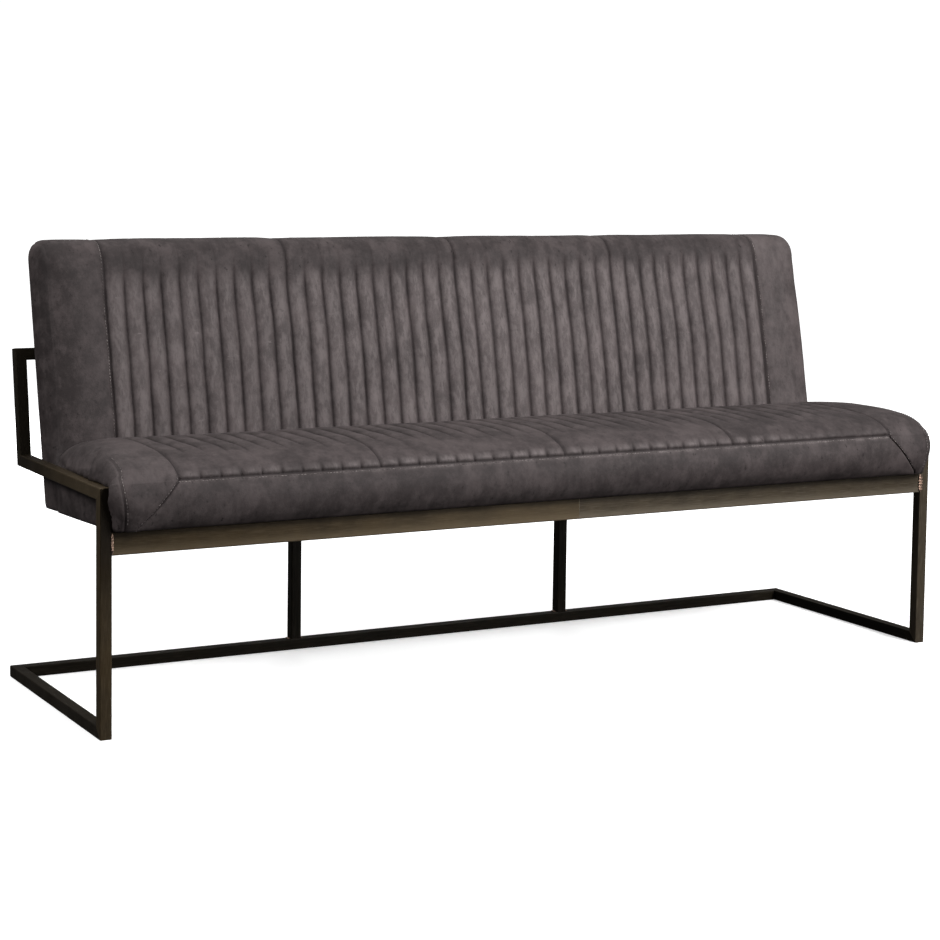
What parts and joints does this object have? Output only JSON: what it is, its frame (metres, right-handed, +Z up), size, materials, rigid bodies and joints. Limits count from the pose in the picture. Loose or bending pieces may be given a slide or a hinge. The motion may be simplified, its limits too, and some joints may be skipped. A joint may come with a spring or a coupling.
{
  "type": "dining sofa",
  "caption": "Upholstered dining bench with a channel-stitched seat and leaning backrest in leather-look cover, on a welded square-tube steel frame with floor runners.",
  "frame": {"origin": "on the floor, under the middle of the bench's overall box", "axes": "+X along the bench, +Y from the seat's front to the backrest, +Z up"},
  "size_m": [1.8, 0.552, 0.8333],
  "materials": {
    "steel": "dark bronze lacquer over brushed tube, semi-gloss, lightly worn at the edges",
    "weld": "bare weld bead under clear lacquer, copper brown",
    "leather": "distressed leather-look cloth, warm dark grey, matt with soft sheen",
    "foam": "open-cell foam",
    "plywood": "raw plywood",
    "dust_cloth": "thin black felted cloth",
    "rubber": "matt black rubber",
    "zinc": "bright zinc plate"
  },
  "bodies": {
    "root": {"back_bar": "steel", "back_board": "plywood", "back_bolt_1": "zinc", "back_bolt_2": "zinc", "back_bolt_3": "zinc", "back_bolt_4": "zinc", "back_cover": "leather", "back_foam": "foam", "back_rear_panel": "leather", "back_spacer_1": "rubber", "back_spacer_2": "rubber", "back_spacer_3": "rubber", "back_spacer_4": "rubber", "front_rail_left": "steel", "front_rail_right": "steel", "left_floor_runner": "steel", "left_front_leg": "steel", "left_mid_post": "steel", "left_post_inner_weld": "weld", "left_post_outer_weld": "weld", "left_rail_weld": "weld", "left_rear_upright": "steel", "left_seat_bearer": "steel", "left_side_rail": "steel", "rear_floor_rail": "steel", "right_floor_runner": "steel", "right_front_leg": "steel", "right_mid_post": "steel", "right_post_inner_weld": "weld", "right_post_outer_weld": "weld", "right_rail_weld": "weld", "right_rear_upright": "steel", "right_seat_bearer": "steel", "right_side_rail": "steel", "seat_board": "plywood", "seat_bolt_1": "zinc", "seat_bolt_2": "zinc", "seat_bolt_3": "zinc", "seat_bolt_4": "zinc", "seat_cover": "leather", "seat_dust_cover": "dust_cloth", "seat_foam": "foam"}
  },
  "joints": []
}
